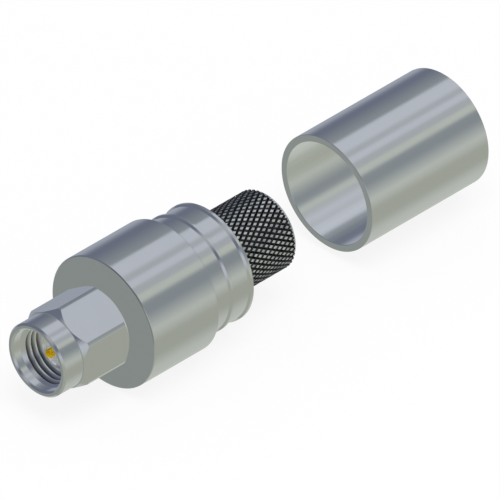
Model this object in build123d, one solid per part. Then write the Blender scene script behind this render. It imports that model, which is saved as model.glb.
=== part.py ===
"""SMA plug for a 10.3 mm coaxial cable, crimp type, with its ferrule drawn off to the rear.

The connector's axis is the X axis. The mating end faces -X and the cable leaves towards +X.
The origin is on the axis in the reference plane, the front face of the outer conductor, which
the mating jack's own reference plane meets. All sizes are in millimetres.
"""

import os
from math import cos, pi, radians, sin, tan

from build123d import *

# Cable that the rear end takes
cable_jacket_d = 10.29
cable_dielectric_d = 7.24
cable_conductor_d = 2.74

# Outer conductor tube, the part that enters the jack
tube_d = 4.60
tube_wall = 0.25
tube_exposed = 2.05  # from the reference plane to the gasket's boss
tube_tip_chamfer = 0.06

# Gasket, pushed on a boss at the foot of the tube
gasket_boss_height = 0.20
gasket_width = 0.54
gasket_thickness = 1.00
gasket_proud = 0.15  # how far it stands ahead of its boss, to be squeezed
gasket_chamfer = 0.20

# Neck that the coupling nut turns on, and the spigot behind it
neck_wall = 0.70
neck_length = 3.38
spigot_wall = 1.05
spigot_length = 3.00

# Retaining ring, a split ring half in the neck and half in the nut
ring_width = 0.60
ring_sink = 0.45  # how far it reaches into the neck
ring_stand = 0.45  # how far it stands out of the neck
ring_split = 0.90
ring_setback = 1.45  # from the neck's front shoulder to the ring's middle
ring_side_play = 0.05
ring_depth_play = 0.05

# Coupling nut, with a 1/4-36 UNS inside thread
thread_major_d = 6.35
thread_height = 0.325
nut_overhang = 2.74  # from the reference plane to the nut's rim
nut_rear_gap = 0.45  # from the nut's rear face to the main body
nut_mouth_clearance = 0.055  # radial, round the thread's major diameter
nut_mouth_depth = 1.00
nut_mouth_chamfer = 0.19
nut_leadin_length = 0.42
nut_skirt_wall = 0.67
nut_skirt_length = 2.47
nut_rim_chamfer = 0.20
nut_hexagon_step = 0.10  # from the skirt up to the flats
nut_corner_height = 0.50  # from the flats up to the turned corners
nut_front_chamfer_length = 0.68
nut_rear_chamfer_length = 0.50
nut_gasket_clearance = 0.25  # radial, round the gasket
nut_gasket_setback = 0.20  # axial, ahead of the gasket
nut_running_clearance = 0.05  # radial, on the neck
nut_shoulder_clearance = 0.25  # axial, behind the gasket's seat
nut_ring_side_play = 0.10
nut_ring_depth_play = 0.15

# Main body
main_body_wall = 1.80  # round the crimp body's pilot
main_body_length = 8.67
main_body_edge_width = 0.14
main_body_edge_depth = 0.06
web_thickness = 0.66  # inner wall between the front spigot and the rear counterbore
spigot_stop = 0.40  # radial width of the web that the spigot stops on

# Insulators
insulator_recess = 0.30  # from the reference plane to the front insulator's face
bead_thickness = 1.60
press_clearance = 0.01  # radial, left between pieces that are pushed together

# Crimp body, with two lips and the knurled stem
pilot_wall = 1.04
shoulder_step = 0.95  # from the main body's surface down to the shoulder's
shoulder_length = 2.33
lip_height = 0.20
lip_ramp = 0.20
lip_land = 0.32
waist_length = 2.09
stem_wall = 0.525
stem_length = 7.97
stem_end_step = 0.25
stem_end_length = 0.28
dielectric_clearance = 0.08  # radial, round the cable's dielectric
cavity_step = 0.45  # from the stem's bore out to the wide cavity
cavity_step_setback = 0.29  # from the start of the first lip to the end of the wide cavity

# Diamond knurl on the stem, two sets of grooves at this angle to the axis
knurl_count = 44
knurl_angle = 30.0
knurl_depth = 0.20

# Centre contact
pin_d = 0.93
pin_protrusion = 1.30
pin_tip_d = 0.34
pin_tip_length = 0.22
shank_step = 0.17  # from the pin out to its shank in the front insulator
waist_step = 0.315  # from that shank out to the one in the bead
barrel_wall = 0.38
barrel_length = 5.30
barrel_floor = 0.80
barrel_gap = 0.30  # from the bead to the barrel
conductor_clearance = 0.05  # radial, round the cable's centre conductor
solder_hole_d = 0.90
solder_hole_setback = 0.90  # from the bottom of the barrel's bore

# Crimp ferrule
ferrule_wall = 0.75
ferrule_clearance = 0.305  # radial, round the cable's jacket
ferrule_length = 16.00
ferrule_edge = 0.06
ferrule_travel = 16.18  # from the rear lip back to where the ferrule is drawn off to

# Diameters worked out from the sizes above, from the axis outwards
tube_bore_d = tube_d - 2 * tube_wall
gasket_boss_d = tube_d + 2 * gasket_boss_height
gasket_bore_d = gasket_boss_d + 2 * press_clearance
gasket_d = gasket_bore_d + 2 * gasket_width
neck_d = tube_bore_d + 2 * neck_wall
spigot_d = tube_bore_d + 2 * spigot_wall
ring_inner_d = neck_d - 2 * ring_sink
ring_outer_d = neck_d + 2 * ring_stand
nut_thread_minor_d = thread_major_d - 2 * thread_height
nut_mouth_d = thread_major_d + 2 * nut_mouth_clearance
nut_relief_d = gasket_d + 2 * nut_gasket_clearance
nut_skirt_d = nut_mouth_d + 2 * nut_skirt_wall
nut_across_flats = nut_skirt_d + 2 * nut_hexagon_step
nut_across_corners = nut_across_flats + 2 * nut_corner_height
web_bore_d = spigot_d - 2 * spigot_stop
stem_bore_d = cable_dielectric_d + 2 * dielectric_clearance
stem_d = stem_bore_d + 2 * stem_wall
stem_end_d = stem_d - 2 * stem_end_step
cavity_d = stem_bore_d + 2 * cavity_step
pilot_d = cavity_d + 2 * pilot_wall
rear_counterbore_d = pilot_d + 2 * press_clearance
main_body_d = rear_counterbore_d + 2 * main_body_wall
shoulder_d = main_body_d - 2 * shoulder_step
lip_d = shoulder_d + 2 * lip_height
shank_d = pin_d + 2 * shank_step
waist_d = shank_d + 2 * waist_step
barrel_bore_d = cable_conductor_d + 2 * conductor_clearance
barrel_d = barrel_bore_d + 2 * barrel_wall
ferrule_bore_d = cable_jacket_d + 2 * ferrule_clearance
ferrule_d = ferrule_bore_d + 2 * ferrule_wall

# Stations along the axis, worked out from the lengths above
x_rim = -nut_overhang
x_hexagon = x_rim + nut_skirt_length
x_mouth_end = x_rim + nut_mouth_depth
x_boss = tube_exposed
x_gasket = x_boss - gasket_proud
x_shoulder = x_gasket + gasket_thickness
x_ring = x_shoulder + ring_setback
x_face = x_shoulder + neck_length
x_nut_rear = x_face - nut_rear_gap
x_relief = x_gasket - nut_gasket_setback
x_relief_end = x_shoulder + nut_shoulder_clearance
x_spigot_end = x_face + spigot_length
x_web_end = x_spigot_end + web_thickness
x_bead_end = x_web_end + bead_thickness
x_barrel = x_bead_end + barrel_gap
x_barrel_floor = x_barrel + barrel_floor
x_barrel_end = x_barrel + barrel_length
x_body_rear = x_face + main_body_length
x_lip_1 = x_body_rear + shoulder_length
x_cavity_end = x_lip_1 + cavity_step_setback
x_waist = x_lip_1 + lip_ramp + lip_land
x_lip_2 = x_waist + waist_length
x_stem = x_lip_2 + lip_ramp + lip_land
x_stem_end = x_stem + stem_length
x_knurl_end = x_stem_end - stem_end_length
x_ferrule = x_stem + ferrule_travel
x_ferrule_end = x_ferrule + ferrule_length


def turned(*corners):
    """A solid turned about the X axis from the (x, diameter) corners of its half section."""
    outline = Polyline(*[(x, d / 2) for x, d in corners], close=True)
    return revolve(make_face(outline), Axis.X)


def outer_conductor():
    """Thin tube, gasket boss, neck with the ring groove, and the spigot pressed in the body."""
    groove_d = ring_inner_d - 2 * ring_depth_play
    groove_half = ring_width / 2 + ring_side_play
    return turned(
        (0, tube_bore_d),
        (0, tube_d - 2 * tube_tip_chamfer),
        (tube_tip_chamfer, tube_d),
        (x_boss, tube_d),
        (x_boss, gasket_boss_d),
        (x_shoulder, gasket_boss_d),
        (x_shoulder, neck_d),
        (x_ring - groove_half, neck_d),
        (x_ring - groove_half, groove_d),
        (x_ring + groove_half, groove_d),
        (x_ring + groove_half, neck_d),
        (x_face, neck_d),
        (x_face, spigot_d),
        (x_spigot_end, spigot_d),
        (x_spigot_end, tube_bore_d),
    )


def interface_gasket():
    """Silicone ring on the boss, with its front edge broken."""
    return turned(
        (x_gasket, gasket_bore_d),
        (x_gasket, gasket_d - 2 * gasket_chamfer),
        (x_gasket + gasket_chamfer, gasket_d),
        (x_shoulder, gasket_d),
        (x_shoulder, gasket_bore_d),
    )


def retaining_ring():
    """Split ring of square section, open at the top."""
    ring = turned(
        (x_ring - ring_width / 2, ring_inner_d),
        (x_ring - ring_width / 2, ring_outer_d),
        (x_ring + ring_width / 2, ring_outer_d),
        (x_ring + ring_width / 2, ring_inner_d),
    )
    split = Pos(x_ring, 0, ring_outer_d / 2) * Box(2 * ring_width, ring_split, ring_outer_d)
    return ring - split


def coupling_nut():
    """Hexagon with turned corners and a round skirt, bored for the thread, the neck and the ring."""
    hexagon = RegularPolygon(nut_across_flats / 2, 6, major_radius=False, rotation=30)
    prism = extrude(Plane.YZ.offset(x_hexagon) * hexagon, x_nut_rear - x_hexagon)
    envelope = turned(
        (x_hexagon, 0),
        (x_hexagon, nut_across_flats),
        (x_hexagon + nut_front_chamfer_length, nut_across_corners),
        (x_nut_rear - nut_rear_chamfer_length, nut_across_corners),
        (x_nut_rear, nut_across_flats),
        (x_nut_rear, 0),
    )
    skirt = turned(
        (x_rim, 0),
        (x_rim, nut_skirt_d - 2 * nut_rim_chamfer),
        (x_rim + nut_rim_chamfer, nut_skirt_d),
        (x_hexagon, nut_skirt_d),
        (x_hexagon, 0),
    )
    rear_bore_d = neck_d + 2 * nut_running_clearance
    groove_half = ring_width / 2 + nut_ring_side_play
    groove_d = ring_outer_d + 2 * nut_ring_depth_play
    bore = turned(
        (x_rim, 0),
        (x_rim, nut_mouth_d + 2 * nut_mouth_chamfer),
        (x_rim + nut_mouth_chamfer, nut_mouth_d),
        (x_mouth_end, nut_mouth_d),
        (x_mouth_end + nut_leadin_length, nut_thread_minor_d),
        (x_relief, nut_thread_minor_d),
        (x_relief, nut_relief_d),
        (x_relief_end, nut_relief_d),
        (x_relief_end, rear_bore_d),
        (x_ring - groove_half, rear_bore_d),
        (x_ring - groove_half, groove_d),
        (x_ring + groove_half, groove_d),
        (x_ring + groove_half, rear_bore_d),
        (x_nut_rear, rear_bore_d),
        (x_nut_rear, 0),
    )
    return (prism & envelope) + skirt - bore


def main_body():
    """Plain drum with the spigot seat in front and the counterbore for the crimp body behind."""
    return turned(
        (x_face, spigot_d + 2 * press_clearance),
        (x_face, main_body_d - 2 * main_body_edge_width),
        (x_face + main_body_edge_depth, main_body_d),
        (x_body_rear, main_body_d),
        (x_body_rear, rear_counterbore_d),
        (x_web_end, rear_counterbore_d),
        (x_web_end, web_bore_d),
        (x_spigot_end, web_bore_d),
        (x_spigot_end, spigot_d + 2 * press_clearance),
    )


def front_insulator():
    """Sleeve that carries the contact in the outer conductor."""
    return turned(
        (insulator_recess, shank_d + 2 * press_clearance),
        (insulator_recess, tube_bore_d - 2 * press_clearance),
        (x_spigot_end, tube_bore_d - 2 * press_clearance),
        (x_spigot_end, shank_d + 2 * press_clearance),
    )


def rear_insulator():
    """Stepped bead, held between the body's inner wall and the crimp body."""
    return turned(
        (x_spigot_end, waist_d + 2 * press_clearance),
        (x_spigot_end, web_bore_d - 2 * press_clearance),
        (x_web_end, web_bore_d - 2 * press_clearance),
        (x_web_end, rear_counterbore_d - 2 * press_clearance),
        (x_bead_end, rear_counterbore_d - 2 * press_clearance),
        (x_bead_end, waist_d + 2 * press_clearance),
    )


def centre_contact():
    """Pin, shank and soldering barrel, turned in one piece, with a solder hole in the barrel."""
    contact = turned(
        (-pin_protrusion, 0),
        (-pin_protrusion, pin_tip_d),
        (-pin_protrusion + pin_tip_length, pin_d),
        (insulator_recess, pin_d),
        (insulator_recess, shank_d),
        (x_spigot_end, shank_d),
        (x_spigot_end, waist_d),
        (x_barrel, waist_d),
        (x_barrel, barrel_d),
        (x_barrel_end, barrel_d),
        (x_barrel_end, barrel_bore_d),
        (x_barrel_floor, barrel_bore_d),
        (x_barrel_floor, 0),
    )
    hole = Pos(x_barrel_floor + solder_hole_setback, 0, barrel_d / 2)
    return contact - hole * Cylinder(solder_hole_d / 2, barrel_d)


def knurled_rod(x_start, x_end):
    """Rod with a diamond knurl: one pyramid for each diamond between the crossing grooves.

    Every pyramid's point lies on the stem's full diameter. Its corners are where two grooves
    cross, at the knurl's depth and half a diamond apart along the axis and round it. A diamond's
    length follows from its width and the grooves' angle, rounded to whole halves in the length.
    """
    width = pi * stem_d / knurl_count
    halves = round(2 * (x_end - x_start) * tan(radians(knurl_angle)) / width)
    half_length = (x_end - x_start) / halves
    high, low = stem_d / 2, stem_d / 2 - knurl_depth

    def at(station, turn):
        """Corner of the knurl: a point where station and turn are both even or both odd."""
        radius = high if (station + turn) % 2 == 0 else low
        angle = pi * turn / knurl_count
        return Vector(x_start + half_length * station, radius * cos(angle), radius * sin(angle))

    faces = []
    for station in range(halves + 1):
        for turn in range(station % 2, 2 * knurl_count, 2):
            point, left, right = at(station, turn), at(station, turn - 1), at(station, turn + 1)
            if station > 0:
                front = at(station - 1, turn)
                faces += [triangle(point, left, front), triangle(point, front, right)]
            if station < halves:
                back = at(station + 1, turn)
                faces += [triangle(point, back, left), triangle(point, right, back)]
    for station in (0, halves):
        faces.append(Face(Wire.make_polygon([at(station, turn) for turn in range(2 * knurl_count)])))
    return Solid(Shell(faces))


def triangle(*corners):
    """Flat three-cornered face."""
    return Face(Wire.make_polygon(corners))


def crimp_body():
    """Pilot, shoulder, two lips and the knurled stem, bored for the cable's dielectric."""
    shoulder = turned(
        (x_bead_end, cavity_d),
        (x_bead_end, pilot_d),
        (x_body_rear, pilot_d),
        (x_body_rear, shoulder_d),
        (x_lip_1, shoulder_d),
        (x_lip_1 + lip_ramp, lip_d),
        (x_waist, lip_d),
        (x_waist, shoulder_d),
        (x_lip_2, shoulder_d),
        (x_lip_2 + lip_ramp, lip_d),
        (x_stem, lip_d),
        (x_stem, stem_bore_d),
        (x_cavity_end, stem_bore_d),
        (x_cavity_end, cavity_d),
    )
    stem = knurled_rod(x_stem, x_knurl_end)
    stem -= turned((x_stem, 0), (x_stem, stem_bore_d), (x_knurl_end, stem_bore_d), (x_knurl_end, 0))
    end = turned(
        (x_knurl_end, stem_bore_d),
        (x_knurl_end, stem_end_d),
        (x_stem_end, stem_end_d),
        (x_stem_end, stem_bore_d),
    )
    return shoulder + stem + end


def crimp_ferrule():
    """Plain tube, with its outer edges broken."""
    return turned(
        (x_ferrule, ferrule_bore_d),
        (x_ferrule, ferrule_d - 2 * ferrule_edge),
        (x_ferrule + ferrule_edge, ferrule_d),
        (x_ferrule_end - ferrule_edge, ferrule_d),
        (x_ferrule_end, ferrule_d - 2 * ferrule_edge),
        (x_ferrule_end, ferrule_bore_d),
    )


pieces = {
    "coupling_nut": coupling_nut,
    "retaining_ring": retaining_ring,
    "interface_gasket": interface_gasket,
    "outer_conductor": outer_conductor,
    "front_insulator": front_insulator,
    "centre_contact": centre_contact,
    "rear_insulator": rear_insulator,
    "main_body": main_body,
    "crimp_body": crimp_body,
    "crimp_ferrule": crimp_ferrule,
}

os.makedirs("parts", exist_ok=True)
for name, make in pieces.items():
    export_step(make(), f"parts/{name}.step")
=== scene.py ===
"""Looks of an SMA plug with its crimp ferrule drawn off behind it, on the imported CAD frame.

The connector's axis is the X axis, mating end towards -X, and the reference plane is at x = 0.
Sizes are in millimetres up to the point where a mesh or a node takes them, in metres. A half
section is a closed line of (x, radius) corners.
"""

from math import ceil, cos, hypot, pi, radians, sin, tan

import bmesh
import bpy
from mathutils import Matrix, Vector


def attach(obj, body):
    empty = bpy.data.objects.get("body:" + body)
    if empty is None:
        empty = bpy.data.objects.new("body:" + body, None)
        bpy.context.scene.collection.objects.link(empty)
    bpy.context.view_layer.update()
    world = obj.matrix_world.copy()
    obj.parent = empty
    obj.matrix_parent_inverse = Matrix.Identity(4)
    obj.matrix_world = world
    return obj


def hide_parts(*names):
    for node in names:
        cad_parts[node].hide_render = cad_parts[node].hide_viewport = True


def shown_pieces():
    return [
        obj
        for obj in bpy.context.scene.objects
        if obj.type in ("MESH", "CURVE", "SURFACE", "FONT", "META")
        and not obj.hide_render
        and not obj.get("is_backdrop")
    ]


MM = 0.001

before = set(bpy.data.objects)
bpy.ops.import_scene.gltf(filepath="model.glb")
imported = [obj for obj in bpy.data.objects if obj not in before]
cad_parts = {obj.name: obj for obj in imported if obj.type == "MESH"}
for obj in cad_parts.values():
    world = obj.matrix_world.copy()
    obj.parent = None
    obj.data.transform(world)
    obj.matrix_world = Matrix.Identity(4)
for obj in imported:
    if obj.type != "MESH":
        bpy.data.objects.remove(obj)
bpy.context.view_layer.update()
scene = bpy.context.scene


# Main body: the large plain drum behind the nut. Turned from brass bar in an automatic lathe and
# plated with bright nickel. The outer conductor is pressed in from the front, the crimp body from
# behind.

touching = 0.001 * MM  # points that are closer together than this become one
path_radius = 1  # of the circle that a half section is swept along


def turning_tree():
    """Node tree that turns a flat half section about the X axis, with its edges broken."""
    tree = bpy.data.node_groups.new("turned on the lathe", "GeometryNodeTree")
    sockets = tree.interface
    sockets.new_socket("Half Section", in_out="INPUT", socket_type="NodeSocketGeometry")
    sockets.new_socket("Steps Round", in_out="INPUT", socket_type="NodeSocketInt")
    sockets.new_socket("Edge Radius", in_out="INPUT", socket_type="NodeSocketFloat")
    sockets.new_socket("Finish", in_out="INPUT", socket_type="NodeSocketMaterial")
    sockets.new_socket("Piece", in_out="OUTPUT", socket_type="NodeSocketGeometry")
    nodes, link = tree.nodes, tree.links.new
    given = nodes.new("NodeGroupInput")
    made = nodes.new("NodeGroupOutput")
    section = nodes.new("GeometryNodeMeshToCurve")
    link(given.outputs["Half Section"], section.inputs["Mesh"])
    eased = nodes.new("GeometryNodeFilletCurve")
    eased.mode = "POLY"
    eased.inputs["Count"].default_value = 3
    eased.inputs["Limit Radius"].default_value = True
    link(section.outputs["Curve"], eased.inputs["Curve"])
    link(given.outputs["Edge Radius"], eased.inputs["Radius"])
    round_path = nodes.new("GeometryNodeCurvePrimitiveCircle")
    round_path.inputs["Radius"].default_value = path_radius * MM
    link(given.outputs["Steps Round"], round_path.inputs["Resolution"])
    swept = nodes.new("GeometryNodeCurveToMesh")
    link(round_path.outputs["Curve"], swept.inputs["Curve"])
    link(eased.outputs["Curve"], swept.inputs["Profile Curve"])
    laid = nodes.new("GeometryNodeTransform")
    laid.inputs["Rotation"].default_value = (0, pi / 2, 0)
    link(swept.outputs["Mesh"], laid.inputs["Geometry"])
    closed = nodes.new("GeometryNodeMergeByDistance")
    closed.inputs["Distance"].default_value = touching
    link(laid.outputs["Geometry"], closed.inputs["Geometry"])
    whole = nodes.new("GeometryNodeRealizeInstances")
    link(closed.outputs["Geometry"], whole.inputs["Geometry"])
    finished = nodes.new("GeometryNodeSetMaterial")
    link(whole.outputs["Geometry"], finished.inputs["Geometry"])
    link(given.outputs["Finish"], finished.inputs["Material"])
    link(finished.outputs["Geometry"], made.inputs["Piece"])
    return tree


def with_nodes(blank, tree, inputs):
    """Gives the blank the plain mesh that the node tree makes of it, and takes the tree off."""
    modifier = blank.modifiers.new(tree.name, "NODES")
    modifier.node_group = tree
    for socket in tree.interface.items_tree:
        if socket.name in inputs:
            modifier[socket.identifier] = inputs[socket.name]
    evaluated = blank.evaluated_get(bpy.context.evaluated_depsgraph_get())
    mesh = bpy.data.meshes.new_from_object(evaluated)
    blank.modifiers.remove(modifier)
    blank.data = mesh
    return blank


def shown(name, mesh):
    """Object at the origin with this mesh."""
    piece = bpy.data.objects.new(name, mesh)
    scene.collection.objects.link(piece)
    return piece


def even_shading(piece):
    """Smooth shading by the area of the faces, so the flats stay flat and the broken edges soft."""
    mesh = piece.data
    mesh.shade_smooth()
    directions = [Vector() for corner in mesh.vertices]
    for face in mesh.polygons:
        for corner in face.vertices:
            directions[corner] += face.normal * (face.area / MM**2)
    mesh.normals_split_custom_set_from_vertices([d.normalized() for d in directions])
    return piece


def turned(name, section, finish, edge=0.05, steps=256):
    """Piece turned about the X axis from its half section, with its edges broken."""
    corners = [((r - path_radius) * MM, -x * MM, 0) for x, r in section]
    ring = [(i, (i + 1) % len(corners)) for i in range(len(corners))]
    blank_mesh = bpy.data.meshes.new(name)
    blank_mesh.from_pydata(corners, ring, [])
    inputs = {"Steps Round": steps, "Edge Radius": edge * MM, "Finish": finish}
    piece = with_nodes(shown(name, blank_mesh), lathe, inputs)
    return even_shading(piece)


def refinished(piece, finish, chosen):
    """Gives a finish of their own to the faces that chosen picks by x, radius and normal."""
    piece.data.materials.append(finish)
    for face in piece.data.polygons:
        middle = face.center / MM
        if chosen(middle.x, hypot(middle.y, middle.z), face.normal):
            face.material_index = len(piece.data.materials) - 1


def blank_finish(name):
    """New material, with its nodes, their link call, its surface and its own coordinates."""
    finish = bpy.data.materials.new(name)
    finish.use_nodes = True
    nodes, link = finish.node_tree.nodes, finish.node_tree.links.new
    place = nodes.new("ShaderNodeTexCoord").outputs["Object"]
    return finish, nodes, link, nodes["Principled BSDF"], place


def distance_from_axis(nodes, link, place):
    """Socket that gives how far a point of the surface is from the X axis."""
    across = nodes.new("ShaderNodeVectorMath")
    across.operation = "MULTIPLY"
    across.inputs[1].default_value = (0, 1, 1)
    link(place, across.inputs[0])
    radius = nodes.new("ShaderNodeVectorMath")
    radius.operation = "LENGTH"
    link(across.outputs["Vector"], radius.inputs[0])
    return radius.outputs["Value"]


def noise(nodes, link, place, scale, detail=2, dimensions="3D"):
    """Noise whose grains are about one metre divided by scale across, read at a place."""
    texture = nodes.new("ShaderNodeTexNoise")
    texture.noise_dimensions = dimensions
    texture.inputs["Scale"].default_value = scale
    texture.inputs["Detail"].default_value = detail
    link(place, texture.inputs["W" if dimensions == "1D" else "Vector"])
    return texture


def mapped(nodes, link, value, from_range, to_range):
    """Socket that gives the value moved from one range to another."""
    change = nodes.new("ShaderNodeMapRange")
    for end, number in zip(("Min", "Max"), from_range):
        change.inputs["From " + end].default_value = number
    for end, number in zip(("Min", "Max"), to_range):
        change.inputs["To " + end].default_value = number
    link(value, change.inputs["Value"])
    return change.outputs["Result"]


def roughened(nodes, link, surface, height, depth):
    """Shades the surface as if the height stood this many millimetres out of it."""
    bump = nodes.new("ShaderNodeBump")
    bump.inputs["Distance"].default_value = depth * MM
    link(height, bump.inputs["Height"])
    link(bump.outputs["Normal"], surface.inputs["Normal"])


def turned_metal(name, colour, roughness, marks):
    """Metal with the fine rings that a lathe leaves round the axis and across the faces."""
    finish, nodes, link, surface, place = blank_finish(name)
    surface.inputs["Base Color"].default_value = (*colour, 1)
    surface.inputs["Metallic"].default_value = 1
    axial = nodes.new("ShaderNodeSeparateXYZ")
    link(place, axial.inputs["Vector"])
    lathe_feed = nodes.new("ShaderNodeCombineXYZ")
    link(axial.outputs["X"], lathe_feed.inputs["X"])
    link(distance_from_axis(nodes, link, place), lathe_feed.inputs["Y"])
    rings = noise(nodes, link, lathe_feed.outputs["Vector"], 5200, dimensions="2D")
    roughened(nodes, link, surface, rings.outputs["Fac"], marks)
    handled = noise(nodes, link, place, 420, detail=3)
    gloss = (roughness - 0.02, roughness + 0.02)
    link(
        mapped(nodes, link, handled.outputs["Fac"], (0.3, 0.7), gloss),
        surface.inputs["Roughness"],
    )
    return finish


lathe = turning_tree()
bright_nickel = turned_metal("bright nickel on brass", (0.76, 0.77, 0.78), 0.14, 0.0004)
faced_nickel = turned_metal("nickel on faced brass", (0.76, 0.77, 0.78), 0.24, 0.0008)

drum_front, drum_rear, drum_radius = 6.28, 14.95, 7.0
front_edge_length, front_edge_height = 0.06, 0.14
spigot_radius, counterbore_radius = 3.11, 5.2
web_front, web_rear, web_radius = 9.28, 9.94, 2.7
pick_margin = 0.01  # by which a choice of faces reaches past the size that it goes by
drum = [
    (drum_front, spigot_radius),
    (web_front, spigot_radius),
    (web_front, web_radius),
    (web_rear, web_radius),
    (web_rear, counterbore_radius),
    (drum_rear, counterbore_radius),
    (drum_rear, drum_radius),
    (drum_front + front_edge_length, drum_radius),
    (drum_front, drum_radius - front_edge_height),
]


def on_drum_front(x, r, normal):
    """Faces of the flat front, which the cutting tool crossed from the rim inwards."""
    return x < drum_front + pick_margin and normal.x < -0.99


piece = turned("main_body_drum", drum, bright_nickel, edge=0.09)
refinished(piece, faced_nickel, on_drum_front)
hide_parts("main_body")
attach(piece, "connector")


# Crimp body: pushed in behind the drum, with a shoulder, two raised lips that the ferrule stops
# against, and the stem. One turned brass piece, plated with bright nickel and bored for the
# cable's dielectric.

press_gap = 0.01  # left between faces that are pressed together, so that neither shows through
bead_rear, lip_1, lip_2, stem_front, knurl_end, stem_end = 11.54, 17.28, 19.89, 20.41, 28.1, 28.38
lip_ramp, lip_length, shoulder_radius, lip_radius = 0.2, 0.52, 6.05, 6.25
cavity_radius, cavity_end, stem_bore = 4.15, lip_1 + 0.29, 3.7
stem_core, stem_end_radius = 4.0, 3.975
crimp_end = [
    (bead_rear, cavity_radius),
    (cavity_end, cavity_radius),
    (cavity_end, stem_bore),
    (stem_end, stem_bore),
    (stem_end, stem_end_radius),
    (knurl_end + press_gap, stem_end_radius),
    (knurl_end + press_gap, stem_core),
    (stem_front, stem_core),
    (stem_front, lip_radius),
    (lip_2 + lip_ramp, lip_radius),
    (lip_2, shoulder_radius),
    (lip_1 + lip_length, shoulder_radius),
    (lip_1 + lip_length, lip_radius),
    (lip_1 + lip_ramp, lip_radius),
    (lip_1, shoulder_radius),
    (drum_rear + press_gap, shoulder_radius),
    (drum_rear + press_gap, counterbore_radius - press_gap),
    (bead_rear, counterbore_radius - press_gap),
]
piece = turned("crimp_body_turned", crimp_end, bright_nickel, edge=0.03)
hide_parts("crimp_body")
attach(piece, "connector")


# Diamond knurl: the grip that the cable's braid is crimped on. Two sets of grooves rolled at 30
# degrees to the axis leave 44 flat-topped diamonds to a row. The plate is bright on their tops,
# with shade painted on their walls and in the grooves.

knurl_radius, knurl_depth, knurl_count, knurl_rows = 4.225, 0.2, 44, 15
top_share = 0.5  # of a diamond's length and width
half_length = (knurl_end - stem_front) / knurl_rows


def knurl_tree():
    """Node tree that sets one cell of the knurl round the axis, each row turned by half a cell."""
    tree = bpy.data.node_groups.new("rolled diamond knurl", "GeometryNodeTree")
    sockets = tree.interface
    sockets.new_socket("Cell", in_out="INPUT", socket_type="NodeSocketGeometry")
    sockets.new_socket("Cells Round", in_out="INPUT", socket_type="NodeSocketInt")
    sockets.new_socket("Rows", in_out="INPUT", socket_type="NodeSocketInt")
    sockets.new_socket("Row Length", in_out="INPUT", socket_type="NodeSocketFloat")
    sockets.new_socket("Finish", in_out="INPUT", socket_type="NodeSocketMaterial")
    sockets.new_socket("Knurl", in_out="OUTPUT", socket_type="NodeSocketGeometry")
    nodes, link = tree.nodes, tree.links.new
    given = nodes.new("NodeGroupInput")
    made = nodes.new("NodeGroupOutput")
    cells_round = given.outputs["Cells Round"]

    def maths(operation, first, second):
        """Output of one sum on sockets or plain numbers."""
        node = nodes.new("ShaderNodeMath")
        node.operation = operation
        for slot, value in zip(node.inputs, (first, second)):
            if isinstance(value, (int, float)):
                slot.default_value = value
            else:
                link(value, slot)
        return node.outputs["Value"]

    places = nodes.new("GeometryNodePoints")
    link(maths("MULTIPLY", cells_round, given.outputs["Rows"]), places.inputs["Count"])
    number = nodes.new("GeometryNodeInputIndex").outputs["Index"]
    row = maths("FLOOR", maths("DIVIDE", maths("ADD", number, 0.5), cells_round), 0)
    column = maths("SUBTRACT", number, maths("MULTIPLY", row, cells_round))
    stagger = maths("MULTIPLY", maths("FLOORED_MODULO", row, 2), 0.5)
    share = maths("DIVIDE", maths("ADD", column, stagger), cells_round)
    along = nodes.new("ShaderNodeCombineXYZ")
    link(maths("MULTIPLY", row, given.outputs["Row Length"]), along.inputs["X"])
    spread = nodes.new("GeometryNodeSetPosition")
    link(places.outputs["Points"], spread.inputs["Geometry"])
    link(along.outputs["Vector"], spread.inputs["Offset"])
    turn = nodes.new("ShaderNodeCombineXYZ")
    link(maths("MULTIPLY", share, 2 * pi), turn.inputs["X"])
    cells = nodes.new("GeometryNodeInstanceOnPoints")
    link(spread.outputs["Geometry"], cells.inputs["Points"])
    link(given.outputs["Cell"], cells.inputs["Instance"])
    link(turn.outputs["Vector"], cells.inputs["Rotation"])
    whole = nodes.new("GeometryNodeRealizeInstances")
    link(cells.outputs["Instances"], whole.inputs["Geometry"])
    joined = nodes.new("GeometryNodeMergeByDistance")
    joined.inputs["Distance"].default_value = touching
    link(whole.outputs["Geometry"], joined.inputs["Geometry"])
    finished = nodes.new("GeometryNodeSetMaterial")
    link(joined.outputs["Geometry"], finished.inputs["Geometry"])
    link(given.outputs["Finish"], finished.inputs["Material"])
    link(finished.outputs["Geometry"], made.inputs["Knurl"])
    return tree


def knurl_cell():
    """Cell from one row to the next: half a diamond, two quarters and the grooves between."""
    spots = [(0, -top_share, 1), (0, top_share, 1), (top_share, 0, 1), (0, 0, 1)]
    spots += [(0, -1, 0), (0, 1, 0), (1, 0, 0)]
    for side in (-1, 1):
        spots += [(1 - top_share, side, 1), (1, side * (1 - top_share), 1), (1, side, 1)]
    points = []
    for along, turn, raised in spots:
        radius = knurl_radius if raised else knurl_radius - knurl_depth
        angle = turn * pi / knurl_count
        x = stem_front + along * half_length
        points.append((x * MM, radius * MM * cos(angle), radius * MM * sin(angle)))
    faces = [(0, 3, 2), (3, 1, 2), (1, 5, 6, 2), (4, 0, 2, 6), (5, 10, 11, 6), (4, 6, 8, 7)]
    faces += [(10, 12, 11), (7, 8, 9)]
    mesh = bpy.data.meshes.new("knurl_cell")
    mesh.from_pydata(points, [], faces)
    return mesh


def ramp(nodes, link, value, stops):
    """Socket that gives the colour at the value, between stops of position and colour."""
    shade = nodes.new("ShaderNodeValToRGB")
    elements = shade.color_ramp.elements
    first, *between, last = stops
    for element, (position, colour) in zip(list(elements), (first, last)):
        element.position, element.color = position, (*colour, 1)
    for position, colour in between:
        elements.new(position).color = (*colour, 1)
    link(value, shade.inputs["Fac"])
    return shade.outputs["Color"]


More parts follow.
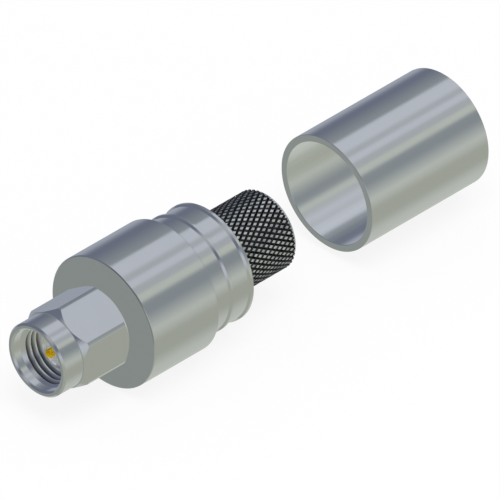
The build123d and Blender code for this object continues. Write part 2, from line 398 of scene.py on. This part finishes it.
def rolled_nickel():
    """Nickel plate, worn bright on the knurl's tops, with painted shade on its walls and grooves.
    """
    finish, nodes, link, surface, place = blank_finish("nickel on rolled knurl")
    surface.inputs["Metallic"].default_value = 1
    surface.inputs["Specular Tint"].default_value = (0, 0, 0, 1)
    depth_range = ((knurl_radius - knurl_depth) * MM, knurl_radius * MM)
    raised = mapped(nodes, link, distance_from_axis(nodes, link, place), depth_range, (0, 1))
    # painted shade: dark on the walls, darkest at the groove floors, the plate's own colour on the
    # tops
    groove_shade = ramp(nodes, link, raised, [
        (0, (0.01, 0.01, 0.01)),
        (0.25, (0.103, 0.103, 0.105)),
        (0.95, (0.076, 0.076, 0.078)),
        (1, (1, 1, 1)),
    ])
    worn = noise(nodes, link, place, 1700)
    tops = ramp(nodes, link, worn.outputs["Fac"], [(0.35, (0.6, 0.61, 0.62)), (0.6, (1, 1, 1))])
    plate = nodes.new("ShaderNodeMix")
    plate.data_type = "RGBA"
    plate.blend_type = "MULTIPLY"
    plate.inputs["Factor"].default_value = 1
    link(groove_shade, plate.inputs["A"])
    link(tops, plate.inputs["B"])
    link(plate.outputs["Result"], surface.inputs["Base Color"])
    grain = noise(nodes, link, place, 9000).outputs["Fac"]
    link(mapped(nodes, link, grain, (0, 1), (0.25, 0.5)), surface.inputs["Roughness"])
    return finish


inputs = {
    "Cells Round": knurl_count,
    "Rows": knurl_rows,
    "Row Length": half_length * MM,
    "Finish": rolled_nickel(),
}
piece = with_nodes(shown("crimp_knurl", knurl_cell()), knurl_tree(), inputs)

# The sleeve of cells gets a wall at each end, down into the stem, and a bore that joins them.
sleeve_of_cells = bmesh.new()
sleeve_of_cells.from_mesh(piece.data)
rim = [edge for edge in sleeve_of_cells.edges if edge.is_boundary]
walls = bmesh.ops.extrude_edge_only(sleeve_of_cells, edges=rim)["geom"]
for corner in (g for g in walls if isinstance(g, bmesh.types.BMVert)):
    inwards = (stem_core - press_gap) * MM / hypot(corner.co.y, corner.co.z)
    corner.co.y *= inwards
    corner.co.z *= inwards
rim = [edge for edge in sleeve_of_cells.edges if edge.is_boundary]
bmesh.ops.bridge_loops(sleeve_of_cells, edges=rim)
bmesh.ops.recalc_face_normals(sleeve_of_cells, faces=sleeve_of_cells.faces)
sleeve_of_cells.to_mesh(piece.data)
sleeve_of_cells.free()
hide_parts("crimp_body")
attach(piece, "connector")


# Crimp ferrule: a plain piece of drawn tube, cut off and its edges broken, plated with satin
# nickel. It waits on the cable and slides forward over braid and stem to be crimped.

def drawn_bore(name):
    """Satin nickel with the long light and dark lines that the drawing die leaves in a tube, on
    a plate lighter than the outside's: painted light inside the bore.
    """
    finish, nodes, link, surface, place = blank_finish(name)
    surface.inputs["Metallic"].default_value = 1
    surface.inputs["Roughness"].default_value = 0.22
    lengthened = nodes.new("ShaderNodeMapping")
    lengthened.inputs["Scale"].default_value = (0.02, 1, 1)
    link(place, lengthened.inputs["Vector"])
    lines = noise(nodes, link, lengthened.outputs["Vector"], 330, detail=3)
    lines.inputs["Roughness"].default_value = 0.6
    stops = [(0.35, (0.76, 0.77, 0.77)), (0.65, (0.9, 0.91, 0.92))]
    link(ramp(nodes, link, lines.outputs["Fac"], stops), surface.inputs["Base Color"])
    roughened(nodes, link, surface, lines.outputs["Fac"], 0.004)
    return finish


drawn_nickel = turned_metal("nickel on drawn tube", (0.78, 0.79, 0.8), 0.15, 0.0003)
satin_bore_painted_lighter = drawn_bore("satin nickel in the bore")
ferrule_front, ferrule_rear, ferrule_bore, ferrule_radius = 36.59, 52.59, 5.45, 6.2
tube = [
    (ferrule_front, ferrule_bore),
    (ferrule_rear, ferrule_bore),
    (ferrule_rear, ferrule_radius),
    (ferrule_front, ferrule_radius),
]
piece = turned("crimp_ferrule_tube", tube, drawn_nickel, edge=0.07)
# The bore's lighter plate is painted light inside the tube.
refinished(piece, satin_bore_painted_lighter, lambda x, r, normal: r < ferrule_bore + pick_margin)
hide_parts("crimp_ferrule")
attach(piece, "ferrule")


# Coupling nut: hexagon nut, 8 mm across flats, that screws on the jack. Turned from stainless
# hexagon bar, so lathe chamfers cut its corners, with a round skirt in front and a thread cut
# inside, 1/4 inch with 36 turns to the inch.

rim_x, hex_front, hex_rear, skirt_radius = -2.74, -0.27, 5.83, 3.9
flat_radius, corner_radius, hex_edge_radius = 4.0, 4.5, 3.98
front_chamfer, rear_chamfer, rim_chamfer = 0.68, 0.5, 0.2
mouth_radius, mouth_chamfer, mouth_end, leadin_end = 3.23, 0.19, -1.74, -1.32
crest_radius, root_radius, pitch = 2.85, 3.175, 25.4 / 36
crest_share, flank_share = 0.2, 0.65  # of half a turn; the root takes the rest
thread_step, thread_start = 0.032, mouth_end + 0.03
relief_front, relief_rear, relief_radius, rear_bore = 1.7, 3.15, 3.3, 2.8
ring_x, ring_groove_half, ring_groove_radius = 4.35, 0.4, 3.35
nut_edge, arc_steps = 0.035, 3
straight = 0.01  # radians; a corner that turns less than this stays as it is
bright_crest = 0.02  # depth below the thread's crests that stays bright
relief_margin = 0.1  # takes in the eased corners round the relief


def hexagon_radius(angle):
    """Radius of the six flats at an angle from +Y, with the turned corners run in softly."""
    from_flat = (angle + pi / 6) % (pi / 3) - pi / 6
    flat, sharpness = flat_radius / cos(from_flat), 500
    return flat * (1 + (flat / corner_radius) ** sharpness) ** (-1 / sharpness)


def eased_corners(corners, radius, steps):
    """The closed half section with each of its corners turned into a small arc."""
    line = []
    count = len(corners)
    for i in range(count):
        here = Vector(corners[i])
        before, after = Vector(corners[i - 1]) - here, Vector(corners[(i + 1) % count]) - here
        room = 0.45 * min(before.length, after.length)  # so that two arcs never meet
        turn = pi - before.angle(after, pi)
        reach = min(radius * tan(turn / 2) if turn > straight else 0, room)
        start, end = here + before.normalized() * reach, here + after.normalized() * reach
        for k in range(steps + 1):
            t = k / steps
            line.append(start * (1 - t) ** 2 + here * 2 * t * (1 - t) + end * t**2)
    return line


def thread_radius(x, angle):
    """Radius inside the nut: a right-hand thread with flat crests, opened by the lead-in cone."""
    phase = ((x - pitch * angle / (2 * pi)) / pitch) % 1
    from_crest = (0.5 - abs(phase - 0.5)) * 2 - crest_share
    rise = min(max(from_crest, 0) / flank_share, 1)
    thread = crest_radius + (root_radius - crest_radius) * rise
    share = (x - mouth_end) / (leadin_end - mouth_end)
    cone = mouth_radius + (crest_radius - mouth_radius) * share
    return max(thread, cone)


def nut_section(angle):
    """Half section of the nut at one angle, its corners eased and its thread put in."""
    outer = hexagon_radius(angle)
    chamfered = (outer - hex_edge_radius) / (corner_radius - hex_edge_radius)
    corners = [
        (rim_x + mouth_chamfer, mouth_radius),
        (rim_x, mouth_radius + mouth_chamfer),
        (rim_x, skirt_radius - rim_chamfer),
        (rim_x + rim_chamfer, skirt_radius),
        (hex_front, skirt_radius),
        (hex_front, hex_edge_radius),
        (hex_front + front_chamfer * chamfered, outer),
        (hex_rear - rear_chamfer * chamfered, outer),
        (hex_rear, hex_edge_radius),
        (hex_rear, rear_bore),
        (ring_x + ring_groove_half, rear_bore),
        (ring_x + ring_groove_half, ring_groove_radius),
        (ring_x - ring_groove_half, ring_groove_radius),
        (ring_x - ring_groove_half, rear_bore),
        (relief_rear, rear_bore),
        (relief_rear, relief_radius),
        (relief_front, relief_radius),
        (relief_front, thread_radius(relief_front, angle)),
        (mouth_end, mouth_radius),
    ]
    line = eased_corners(corners, nut_edge, arc_steps)
    arc = arc_steps + 1
    before_thread, after_thread = line[:-2 * arc], line[-arc:]
    rows = ceil((relief_front - mouth_end) / thread_step)
    thread = []
    for k in range(rows):
        x = relief_front + (thread_start - relief_front) * k / (rows - 1)
        thread.append(Vector((x, thread_radius(x, angle))))
    return before_thread + thread + after_thread


def nut_angles():
    """Angles round the nut, even along the flats and close together at the turned corners."""
    corner = (26, 26.6, 27, 27.3, 27.6, 28, 28.7, 29.4, 30)
    sector = [-a for a in reversed(corner[:-1])] + list(range(-24, 25, 2)) + list(corner)
    return [radians(60 * side + a) for side in range(6) for a in sector]


def ringed_mesh(name, angles, sections, finish, split=False):
    """Closed mesh through one half section for each angle, with an end at both sides of a split."""
    points, faces, size, count = [], [], len(sections[0]), len(angles)
    for angle, section in zip(angles, sections):
        points += [(x * MM, r * MM * cos(angle), r * MM * sin(angle)) for x, r in section]
    for i in range(count - 1 if split else count):
        here, beside = i * size, (i + 1) % count * size
        for j in range(size):
            ahead = (j + 1) % size
            faces.append((here + j, here + ahead, beside + ahead, beside + j))
    if split:
        faces += [tuple(range(size)), tuple(range((count - 1) * size, count * size))]
    mesh = bpy.data.meshes.new(name)
    mesh.from_pydata(points, [], faces)
    mesh.materials.append(finish)
    solid = bmesh.new()
    solid.from_mesh(mesh)
    bmesh.ops.remove_doubles(solid, verts=solid.verts, dist=touching / 10)
    bmesh.ops.recalc_face_normals(solid, faces=solid.faces)
    solid.to_mesh(mesh)
    solid.free()
    return mesh


def shaded_in_thread(finish):
    """Darkens a metal from the thread's crests to its roots: painted shade in the thread's hollows.
    """
    nodes, link = finish.node_tree.nodes, finish.node_tree.links.new
    place = nodes.new("ShaderNodeTexCoord").outputs["Object"]
    thread_range = ((crest_radius + bright_crest) * MM, root_radius * MM)
    depth = mapped(nodes, link, distance_from_axis(nodes, link, place), thread_range, (0, 1))
    # painted shade, from the plate's colour just below the crests to near black at the roots
    shade = ramp(nodes, link, depth, [(0, (0.78, 0.79, 0.8)), (1, (0.06, 0.06, 0.06))])
    link(shade, nodes["Principled BSDF"].inputs["Base Color"])
    return finish


def in_mouth(x, r, normal):
    """Faces of the smooth band between the rim and the thread."""
    return x < leadin_end and r < mouth_radius + 2 * pick_margin


def in_thread(x, r, normal):
    """Faces of the thread and of the relief behind it."""
    return leadin_end < x < relief_rear + relief_margin and r < relief_radius + relief_margin


stainless = turned_metal("passivated stainless steel", (0.76, 0.77, 0.78), 0.16, 0.0004)
bored_steel = turned_metal("bored stainless steel", (0.76, 0.77, 0.78), 0.2, 0.0008)
cut_thread = shaded_in_thread(turned_metal("threaded stainless steel", (0.76, 0.77, 0.78), 0.26, 0.0008))
angles = nut_angles()
nut_mesh = ringed_mesh("coupling_nut_hex", angles, [nut_section(a) for a in angles], stainless)
piece = even_shading(shown("coupling_nut_hex", nut_mesh))
refinished(piece, bored_steel, in_mouth)
refinished(piece, cut_thread, in_thread)
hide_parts("coupling_nut")
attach(piece, "nut")


# Outer conductor: thin tube that goes in the jack, with a boss for the gasket, the neck that the
# nut turns on and the spigot pressed in the drum. One turned brass piece, plated with bright
# nickel.

tube_radius, tube_bore, boss_front, boss_radius = 2.3, 2.05, 2.05, 2.5
neck_front, neck_radius, neck_groove_radius, neck_groove_half = 2.9, 2.75, 2.25, 0.35
conductor = [
    (0, tube_bore),
    (web_front, tube_bore),
    (web_front, spigot_radius - press_gap),
    (drum_front, spigot_radius - press_gap),
    (drum_front, neck_radius),
    (ring_x + neck_groove_half, neck_radius),
    (ring_x + neck_groove_half, neck_groove_radius),
    (ring_x - neck_groove_half, neck_groove_radius),
    (ring_x - neck_groove_half, neck_radius),
    (neck_front, neck_radius),
    (neck_front, boss_radius),
    (boss_front, boss_radius),
    (boss_front, tube_radius),
    (0, tube_radius),
]
piece = turned("outer_conductor_tube", conductor, bright_nickel, edge=0.06)
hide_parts("outer_conductor")
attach(piece, "connector")


# Interface gasket: ring of red-brown silicone rubber, pushed on the boss, that the jack's end
# squeezes. Moulded, so its edges are round.

def moulded_rubber(name, colour):
    """Rubber with a faint mould texture and a little bloom."""
    finish, nodes, link, surface, place = blank_finish(name)
    surface.inputs["Roughness"].default_value = 0.55
    bloom = noise(nodes, link, place, 1500, detail=4).outputs["Fac"]
    stops = [(0, colour), (1, [c * 1.25 + 0.01 for c in colour])]
    link(ramp(nodes, link, bloom, stops), surface.inputs["Base Color"])
    roughened(nodes, link, surface, bloom, 0.002)
    return finish


gasket_front, gasket_radius = 1.9, 3.05
gasket = [
    (gasket_front, boss_radius + press_gap),
    (neck_front, boss_radius + press_gap),
    (neck_front, gasket_radius),
    (gasket_front, gasket_radius),
]
silicone = moulded_rubber("silicone rubber", (0.33, 0.028, 0.012))
piece = turned("interface_gasket_ring", gasket, silicone, edge=0.2, steps=192)
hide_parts("interface_gasket")
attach(piece, "connector")


# Retaining ring: split ring of square phosphor bronze wire that sits half in the neck and half in
# the nut, and lets the nut turn. Its ends stand apart at the top.

ring_width, ring_inner, ring_outer, ring_split, ring_steps = 0.6, 2.3, 3.2, 0.9, 180
bronze = turned_metal("phosphor bronze wire", (0.5, 0.27, 0.12), 0.3, 0.0008)
wire = [
    (ring_x - ring_width / 2, ring_inner),
    (ring_x + ring_width / 2, ring_inner),
    (ring_x + ring_width / 2, ring_outer),
    (ring_x - ring_width / 2, ring_outer),
]
line = eased_corners(wire, 0.08, 4)
half_split = ring_split / 2 / ring_outer
bend = 2 * pi - 2 * half_split
angles = [pi / 2 + half_split + bend * k / ring_steps for k in range(ring_steps + 1)]
wire_mesh = ringed_mesh("retaining_ring_wire", angles, [line for a in angles], bronze, split=True)
piece = even_shading(shown("retaining_ring_wire", wire_mesh))
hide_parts("retaining_ring")
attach(piece, "connector")


# Insulators: two pieces of white PTFE that carry the contact on the axis, a sleeve turned to fit
# the outer conductor and a stepped bead held between the drum's inner wall and the crimp body.

def machined_ptfe():
    """White, slightly waxy plastic with light passing a little way in and faint tool rings."""
    finish, nodes, link, surface, place = blank_finish("machined white ptfe")
    surface.inputs["Roughness"].default_value = 0.42
    surface.inputs["Subsurface Weight"].default_value = 0.15
    surface.inputs["Subsurface Radius"].default_value = (0.4 * MM, 0.4 * MM, 0.35 * MM)
    surface.inputs["Subsurface Scale"].default_value = 1
    cloud = noise(nodes, link, place, 600).outputs["Fac"]
    stops = [(0, (0.7, 0.73, 0.69)), (1, (0.8, 0.82, 0.78))]
    link(ramp(nodes, link, cloud, stops), surface.inputs["Base Color"])
    radius = distance_from_axis(nodes, link, place)
    tool_rings = noise(nodes, link, radius, 9000, dimensions="1D")
    roughened(nodes, link, surface, tool_rings.outputs["Fac"], 0.003)
    return finish


ptfe = machined_ptfe()
sleeve_front, shank_bore, sleeve_radius = 0.3, 0.645, tube_bore - press_gap
sleeve = [
    (sleeve_front, shank_bore),
    (web_front, shank_bore),
    (web_front, sleeve_radius),
    (sleeve_front, sleeve_radius),
]
piece = turned("front_insulator_sleeve", sleeve, ptfe, edge=0.05, steps=192)
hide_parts("front_insulator")
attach(piece, "connector")

waist_bore = 0.96
bead = [
    (web_front, waist_bore),
    (bead_rear, waist_bore),
    (bead_rear, counterbore_radius - press_gap),
    (web_rear, counterbore_radius - press_gap),
    (web_rear, web_radius - press_gap),
    (web_front, web_radius - press_gap),
]
piece = turned("rear_insulator_bead", bead, ptfe, edge=0.08, steps=192)
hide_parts("rear_insulator")
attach(piece, "connector")


# Centre contact: the pin, its shank and the barrel that the cable's conductor is soldered in,
# through a side hole. Turned in one piece from beryllium copper and plated with satin gold.

gold = turned_metal("satin gold plate", (1.0, 0.61, 0.008), 0.25, 0.0003)
gold_surface = gold.node_tree.nodes["Principled BSDF"]
gold_surface.inputs["Metallic"].default_value = 0.6
gold_surface.inputs["Specular IOR Level"].default_value = 0.2
tip_x, tip_length, tip_radius, pin_radius = -1.3, 0.22, 0.17, 0.465
shank_radius, waist_radius, barrel_radius, barrel_bore = 0.635, 0.95, 1.8, 1.42
barrel_front, barrel_floor, barrel_end = 11.84, 12.64, 17.14
solder_hole_x, solder_hole_radius, drill_length = barrel_floor + 0.9, 0.45, 2
contact = [
    (tip_x, 0),
    (barrel_floor, 0),
    (barrel_floor, barrel_bore),
    (barrel_end, barrel_bore),
    (barrel_end, barrel_radius),
    (barrel_front, barrel_radius),
    (barrel_front, waist_radius),
    (web_front, waist_radius),
    (web_front, shank_radius),
    (sleeve_front, shank_radius),
    (sleeve_front, pin_radius),
    (tip_x + tip_length, pin_radius),
    (tip_x, tip_radius),
]
piece = turned("centre_contact_pin", contact, gold, edge=0.04, steps=128)

drill_mesh = bpy.data.meshes.new("solder_hole_drill")
drill = bmesh.new()
bmesh.ops.create_cone(
    drill,
    cap_ends=True,
    segments=64,
    radius1=solder_hole_radius * MM,
    radius2=solder_hole_radius * MM,
    depth=drill_length * MM,
)
drilled_at = (solder_hole_x * MM, 0, barrel_radius * MM)
bmesh.ops.translate(drill, verts=drill.verts, vec=drilled_at)
drill.to_mesh(drill_mesh)
drill.free()
drill_bit = shown("solder_hole_drill", drill_mesh)
drilling = piece.modifiers.new("solder hole", "BOOLEAN")
drilling.object = drill_bit
drilling.solver = "EXACT"
evaluated = piece.evaluated_get(bpy.context.evaluated_depsgraph_get())
contact_mesh = bpy.data.meshes.new_from_object(evaluated)
piece.modifiers.clear()
drilled = bmesh.new()
drilled.from_mesh(contact_mesh)
bmesh.ops.remove_doubles(drilled, verts=drilled.verts, dist=touching)
drilled.to_mesh(contact_mesh)
drilled.free()
piece.data = contact_mesh
bpy.data.objects.remove(drill_bit)
even_shading(piece)
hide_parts("centre_contact")
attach(piece, "connector")


# Studio: a pale floor, soft light from above, and a paper tent round the axis that shows in
# reflections alone, as a photographer sets up for plated parts. The tent's panels run lengthways
# and are cut from eight papers.

paper = bpy.data.materials.new("evenly lit paper")
paper.use_nodes = True
nodes, link = paper.node_tree.nodes, paper.node_tree.links.new
nodes.remove(nodes["Principled BSDF"])
tone_of_panel = nodes.new("ShaderNodeAttribute")
tone_of_panel.attribute_name = "tone"
glow = nodes.new("ShaderNodeEmission")
link(tone_of_panel.outputs["Color"], glow.inputs["Color"])
link(glow.outputs["Emission"], nodes["Material Output"].inputs["Surface"])

tent_radius, tent_end = 0.6, 1  # metres
end_light = 0.6  # share of the light that reaches the folded ends
panel_step = 3  # degrees


def tent(name, panels, x_end):
    """Half of the tent, from x = 0 to its end, where it is folded in to the axis. Each panel is
    (angle from +Y where it starts, angle that it blends in over, tone)."""
    first_again = (panels[0][0] + 360, *panels[0][1:])
    stops = []
    for (start, blend, tone), (end, next_blend, _) in zip(panels, panels[1:] + [first_again]):
        stops += [(start + blend / 2, tone), (end - next_blend / 2, tone)]
    stops.append((stops[0][0] + 360, stops[0][1]))
    points, faces, tones = [], [], []
    for (start, tone), (end, next_tone) in zip(stops, stops[1:]):
        steps = max(1, ceil((end - start) / panel_step))
        for k in range(steps + 1):
            share = k / steps
            angle = radians(start + (end - start) * share)
            mixed = [c + (d - c) * share for c, d in zip(tone, next_tone)]
            for x, r, light in (
                (0, tent_radius, 1),
                (x_end, tent_radius, 1),
                (x_end, tent_radius, end_light),
                (x_end, 0, end_light),
            ):
                points.append((x, r * cos(angle), r * sin(angle)))
                tones.append([c * light for c in mixed])
            if k:
                here, beside = len(points) - 8, len(points) - 4
                faces.append((here, here + 1, beside + 1, beside))
                faces.append((here + 2, here + 3, beside + 2))
    mesh = bpy.data.meshes.new(name)
    mesh.from_pydata(points, [], faces)
    mesh.materials.append(paper)
    printed = mesh.color_attributes.new("tone", "FLOAT_COLOR", "POINT")
    for spot, colour in zip(printed.data, tones):
        spot.color = (*colour, 1)
    sheet = shown(name, mesh)
    for ray in ("camera", "diffuse", "transmission", "volume_scatter", "shadow"):
        setattr(sheet, "visible_" + ray, False)
    sheet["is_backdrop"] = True


slate, lead, card = (0.17, 0.19, 0.25), (0.28, 0.31, 0.33), (0.31, 0.34, 0.32)
grey, cool_grey, warm_grey = (0.44, 0.47, 0.49), (0.37, 0.4, 0.46), (0.42, 0.44, 0.38)
white, warm_white = (0.57, 0.6, 0.66), (0.55, 0.58, 0.53)
rear_panels = [
    (-45, 4, cool_grey),
    (-2, 20, slate),
    (38, 34, lead),
    (60, 2, white),
    (88, 6, grey),
    (99, 2, white),
    (112, 2, grey),
    (125, 2, warm_white),
    (138.5, 6, lead),
    (171, 28, warm_white),
    (197, 18, warm_grey),
    (245, 28, warm_white),
]
front_panels = [
    (-90, 20, card),
    (-15, 20, slate),
    (75, 20, grey),
    (115, 20, slate),
    (150, 20, white),
    (185, 20, warm_grey),
]
tent("tent_behind", rear_panels, tent_end)
tent("tent_in_front", front_panels, -tent_end)

# No piece shows in another's reflection, as when each is photographed by itself.
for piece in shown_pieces():
    piece.visible_glossy = False

floor_finish = bpy.data.materials.new("pale floor")
floor_finish.use_nodes = True
nodes, link = floor_finish.node_tree.nodes, floor_finish.node_tree.links.new
nodes.remove(nodes["Principled BSDF"])
matt = nodes.new("ShaderNodeBsdfDiffuse")
matt.inputs["Color"].default_value = (0.92, 0.92, 0.92, 1)
bright = nodes.new("ShaderNodeEmission")
rays = nodes.new("ShaderNodeLightPath")
seen_bright = nodes.new("ShaderNodeMath")
seen_bright.operation = "MULTIPLY"
seen_bright.inputs[1].default_value = 0.86
link(rays.outputs["Is Camera Ray"], seen_bright.inputs[0])
lit = nodes.new("ShaderNodeMixShader")
link(seen_bright.outputs["Value"], lit.inputs["Fac"])
link(matt.outputs["BSDF"], lit.inputs[1])
link(bright.outputs["Emission"], lit.inputs[2])
clear = nodes.new("ShaderNodeBsdfTransparent")
side_seen = nodes.new("ShaderNodeNewGeometry")
from_above = nodes.new("ShaderNodeMixShader")
link(side_seen.outputs["Backfacing"], from_above.inputs["Fac"])
link(lit.outputs["Shader"], from_above.inputs[1])
link(clear.outputs["BSDF"], from_above.inputs[2])
link(from_above.outputs["Shader"], nodes["Material Output"].inputs["Surface"])
floor_reach, floor_gap = 4, 0.02  # metres from the middle, millimetres below the drum
floor_z = -(drum_radius + floor_gap) * MM
quarters = ((-1, -1), (1, -1), (1, 1), (-1, 1))
floor_mesh = bpy.data.meshes.new("floor")
floor_mesh.from_pydata(
    [(floor_reach * x, floor_reach * y, floor_z) for x, y in quarters],
    [],
    [(0, 1, 2, 3)],
)
floor_mesh.materials.append(floor_finish)
floor = shown("floor", floor_mesh)
floor.visible_glossy = False
floor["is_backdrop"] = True

world = bpy.data.worlds.new("studio")
scene.world = world
world.use_nodes = True
nodes, link = world.node_tree.nodes, world.node_tree.links.new
room = nodes["Background"]
rays = nodes.new("ShaderNodeLightPath")
seen = nodes.new("ShaderNodeMath")
seen.operation = "MAXIMUM"
link(rays.outputs["Is Camera Ray"], seen.inputs[0])
link(rays.outputs["Is Glossy Ray"], seen.inputs[1])
through = nodes.new("ShaderNodeMath")
through.operation = "MAXIMUM"
link(seen.outputs["Value"], through.inputs[0])
link(rays.outputs["Is Transmission Ray"], through.inputs[1])
room.inputs["Color"].default_value = (1, 1, 1, 1)
link(mapped(nodes, link, through.outputs["Value"], (0, 1), (0.65, 1)), room.inputs["Strength"])

softbox = bpy.data.lights.new("softbox", "AREA")
softbox.shape = "DISK"
softbox.size = 0.5
softbox.energy = 3
overhead = bpy.data.objects.new("softbox", softbox)
overhead.location = (-0.1, -0.25, 0.7)
middle_of_object = Vector((0.025, 0, 0))
overhead.rotation_mode = "QUATERNION"
overhead.rotation_quaternion = (overhead.location - middle_of_object).to_track_quat("Z", "Y")
overhead.visible_glossy = False
scene.collection.objects.link(overhead)


# Camera: the photograph is an isometric view, so the camera stands far back with a very long
# lens.

distance, shift_right, shift_up = 2.12157, 18.471 * MM, 9.487 * MM
looking = Vector((-1, -1, 1)).normalized()
right, up = Vector((1, -1, 0)).normalized(), Vector((1, 1, 2)).normalized()
lens = bpy.data.cameras.new("long lens")
lens.lens, lens.sensor_width = 1600, 36
lens.clip_start, lens.clip_end = 0.1, 20
camera = bpy.data.objects.new("camera", lens)
camera.location = right * shift_right + up * shift_up + looking * distance
camera.rotation_mode = "QUATERNION"
camera.rotation_quaternion = looking.to_track_quat("Z", "Y")
scene.collection.objects.link(camera)
scene.camera = camera
scene.view_settings.view_transform = "Standard"
